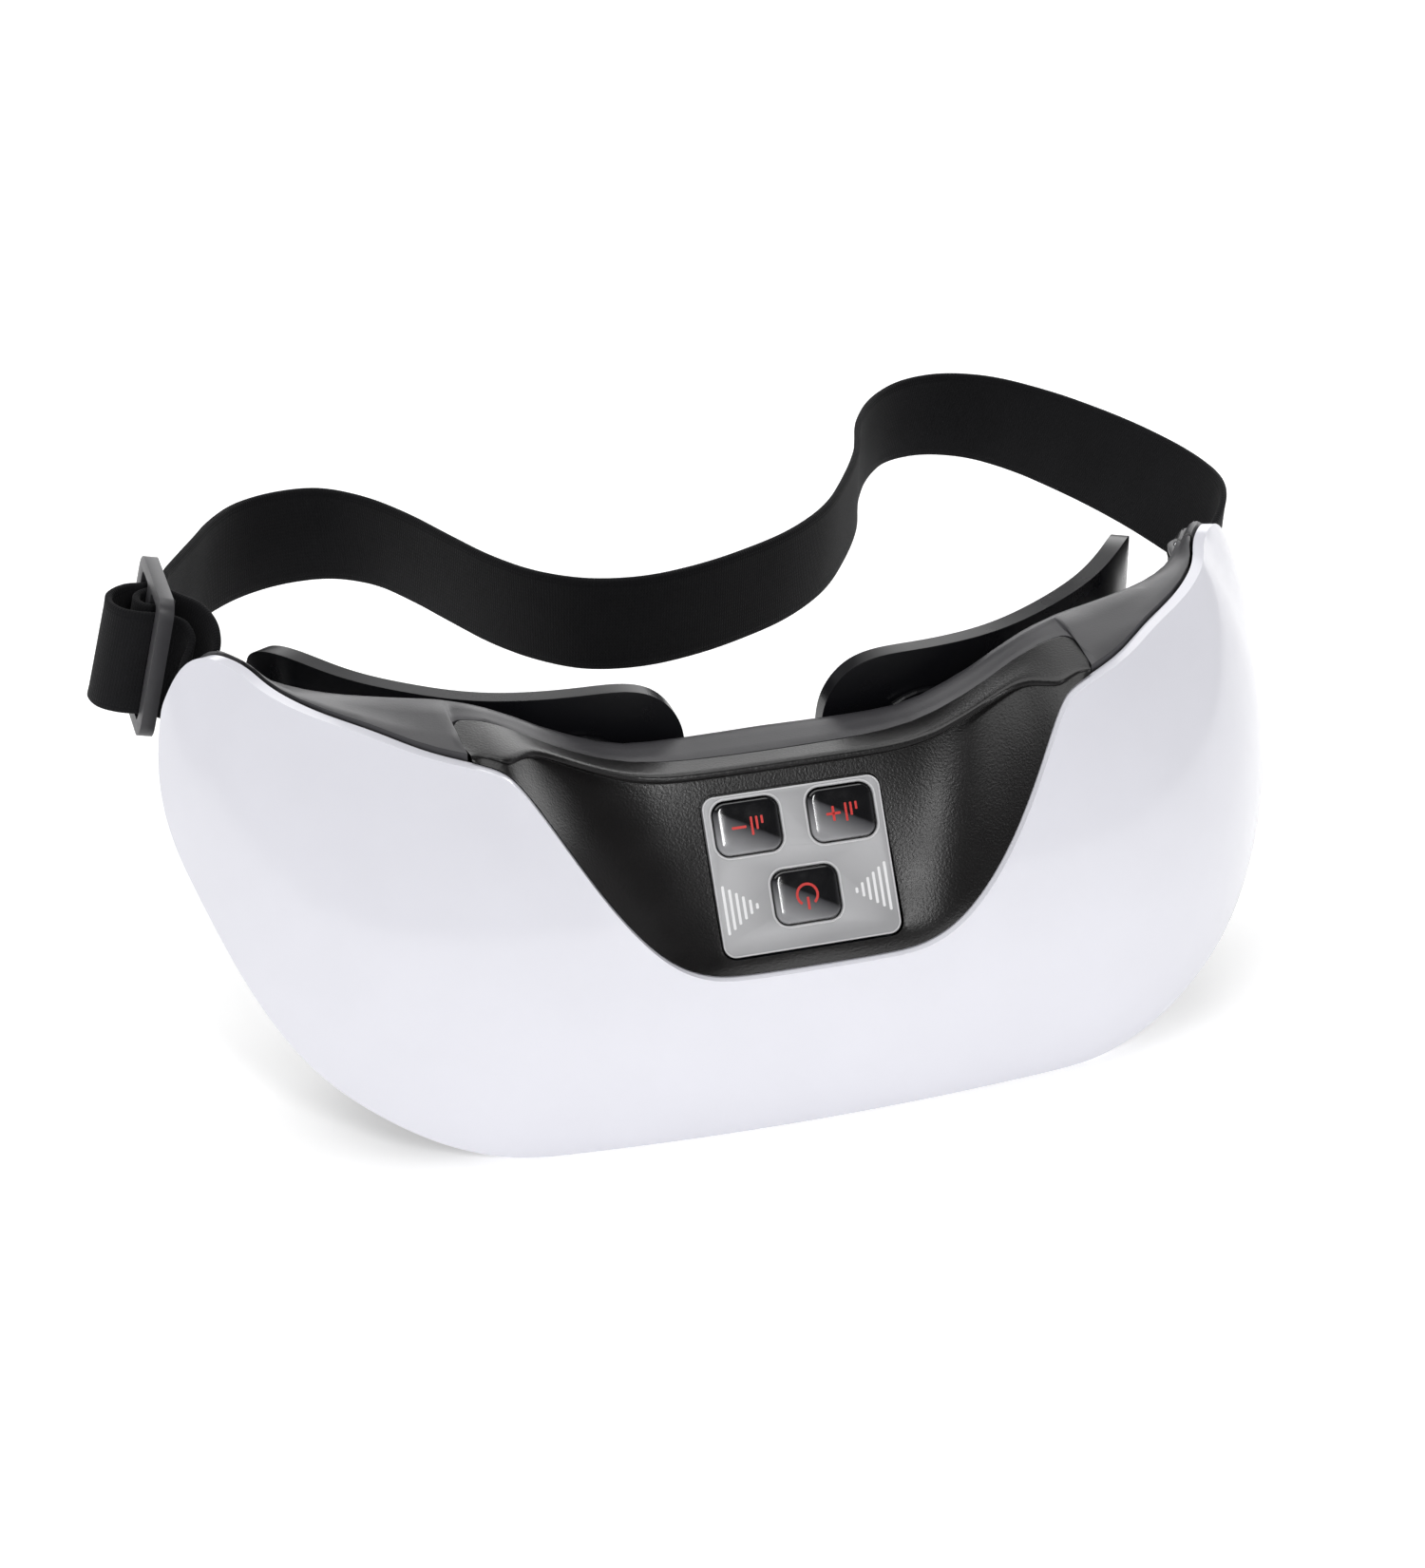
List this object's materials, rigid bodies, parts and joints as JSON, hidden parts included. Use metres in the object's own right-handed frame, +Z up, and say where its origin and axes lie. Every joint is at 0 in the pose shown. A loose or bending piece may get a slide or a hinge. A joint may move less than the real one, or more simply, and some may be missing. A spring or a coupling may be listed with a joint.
{
  "type": "eye massager mask",
  "caption": "Curved eye massager mask: glossy cover, dark housing, keypad in the nose notch, two eye pads and an elastic head strap with a slide adjuster.",
  "frame": {"origin": "the middle of the flat forehead edge that the mask stands on", "axes": "+Z up, from the forehead edge to the nose edge; the front cover faces -Y; the strap lies towards +Y; +X to the right seen from the front"},
  "size_m": [0.2221, 0.1564, 0.0802],
  "materials": {
    "gloss_white": "high gloss, faint lavender tint",
    "housing_grey": "satin, fine moulded texture",
    "panel_black": "satin with a fine grain",
    "plate_silver": "fine brushed silver",
    "key_black": "high gloss with a red printed sign",
    "pad_black": "smooth silicone, glossy",
    "strap_elastic": "woven elastic with a fine cross rib",
    "slider_grey": "satin moulded",
    "steel": "plain",
    "switch_metal": "tinned",
    "board_green": "solder mask",
    "battery_wrap": "foil wrap",
    "silicone_grey": "matt"
  },
  "bodies": {
    "root": {"battery_cell": "battery_wrap", "battery_tape": "silicone_grey", "board_screw_left": "steel", "board_screw_right": "steel", "button_plate": "plate_silver", "charge_socket": "steel", "circuit_board": "board_green", "clamp_screw_left": "steel", "clamp_screw_right": "steel", "control_panel": "panel_black", "eye_pad_left": "pad_black", "eye_pad_right": "pad_black", "front_cover": "gloss_white", "keypad_gasket": "silicone_grey", "magnet_left_1": "steel", "magnet_left_2": "steel", "magnet_left_3": "steel", "magnet_left_4": "steel", "magnet_left_5": "steel", "magnet_right_1": "steel", "magnet_right_2": "steel", "magnet_right_3": "steel", "magnet_right_4": "steel", "magnet_right_5": "steel", "motor_clamp_left": "housing_grey", "motor_clamp_right": "housing_grey", "pad_mount_left": "pad_black", "pad_mount_right": "pad_black", "pad_screw_left": "steel", "pad_screw_right": "steel", "pad_washer_left": "steel", "pad_washer_right": "steel", "rear_housing": "housing_grey", "strap_band": "strap_elastic", "strap_lug_left": "housing_grey", "strap_lug_right": "housing_grey", "strap_pin_left": "steel", "strap_pin_right": "steel", "switch_minus": "switch_metal", "switch_plus": "switch_metal", "switch_power": "switch_metal", "vibration_motor_left": "steel", "vibration_motor_right": "steel"},
    "button_minus": {"button_minus": "key_black"},
    "button_plus": {"button_plus": "key_black"},
    "button_power": {"button_power": "key_black"},
    "eccentric_weight_left": {"eccentric_weight_left": "steel"},
    "eccentric_weight_right": {"eccentric_weight_right": "steel"},
    "tri_glide": {"tri_glide": "slider_grey"}
  },
  "joints": [
    {"name": "button_minus_press", "type": "slide", "parent": "root", "child": "button_minus", "axis": [0, 0.8415, -0.5402], "range_m": [0, 0.0006], "stiffness_N_per_m": 1500},
    {"name": "button_plus_press", "type": "slide", "parent": "root", "child": "button_plus", "axis": [0, 0.8415, -0.5402], "range_m": [0, 0.0006], "stiffness_N_per_m": 1500},
    {"name": "button_power_press", "type": "slide", "parent": "root", "child": "button_power", "axis": [0, 0.8415, -0.5402], "range_m": [0, 0.0006], "stiffness_N_per_m": 1500},
    {"name": "eccentric_weight_left_spin", "type": "hinge", "parent": "root", "child": "eccentric_weight_left", "pos_m": [-0.055, 0.001, 0.038], "axis": [0, 0, 1], "continuous": true},
    {"name": "eccentric_weight_right_spin", "type": "hinge", "parent": "root", "child": "eccentric_weight_right", "pos_m": [0.055, 0.001, 0.038], "axis": [0, 0, 1], "continuous": true},
    {"name": "tri_glide_tilt", "type": "hinge", "parent": "root", "child": "tri_glide", "pos_m": [-0.0999, 0.067, 0.0668], "axis": [0.2334, 0, 0.9724], "range_deg": [-1.5, 6]}
  ]
}
